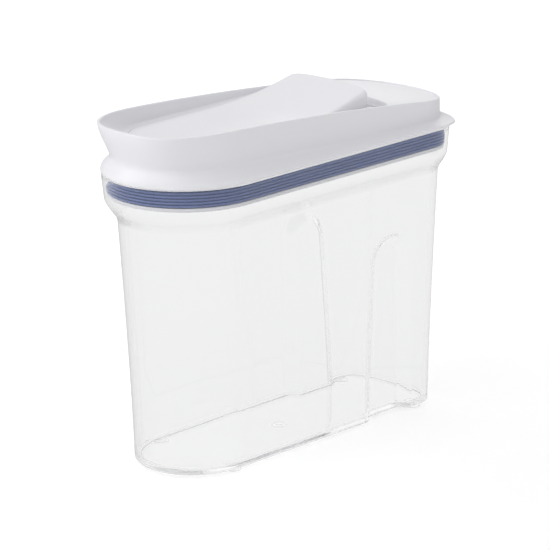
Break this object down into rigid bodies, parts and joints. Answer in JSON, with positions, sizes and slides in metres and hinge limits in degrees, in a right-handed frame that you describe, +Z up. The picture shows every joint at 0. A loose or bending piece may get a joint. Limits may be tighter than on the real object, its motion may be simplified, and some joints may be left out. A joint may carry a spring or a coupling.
{
  "type": "cereal container with flip spout",
  "caption": "Upright clear dry-food keeper with a gasketed lift-off lid, a flared pouring spout and a flap that flips up on side pivots.",
  "frame": {"origin": "on the table plane, under the middle of the object's overall length and width", "axes": "+Z up, spout towards -X, rear lifting lip towards +X, +Y across; the hinge axis lies along Y"},
  "size_m": [0.25, 0.1058, 0.2153],
  "materials": {
    "clear_plastic": "clear, polished",
    "white_plastic": "satin gloss",
    "grey_silicone": "soft satin",
    "pale_silicone": "soft satin"
  },
  "bodies": {
    "container": {"container": "clear_plastic"},
    "lid": {"lid_shell": "white_plastic", "lid_plug": "white_plastic", "lid_gasket": "grey_silicone"},
    "flap": {"spout_flap": "white_plastic", "flap_liner": "white_plastic", "flap_seal": "pale_silicone"}
  },
  "joints": [
    {"name": "lid_lift", "type": "slide", "parent": "container", "child": "lid", "axis": [0, 0, 1], "range_m": [0, 0.06]},
    {"name": "flap_hinge", "type": "hinge", "parent": "lid", "child": "flap", "pos_m": [0.0403, 0, 0.1995], "axis": [0, 1, 0], "range_deg": [0, 95]}
  ]
}
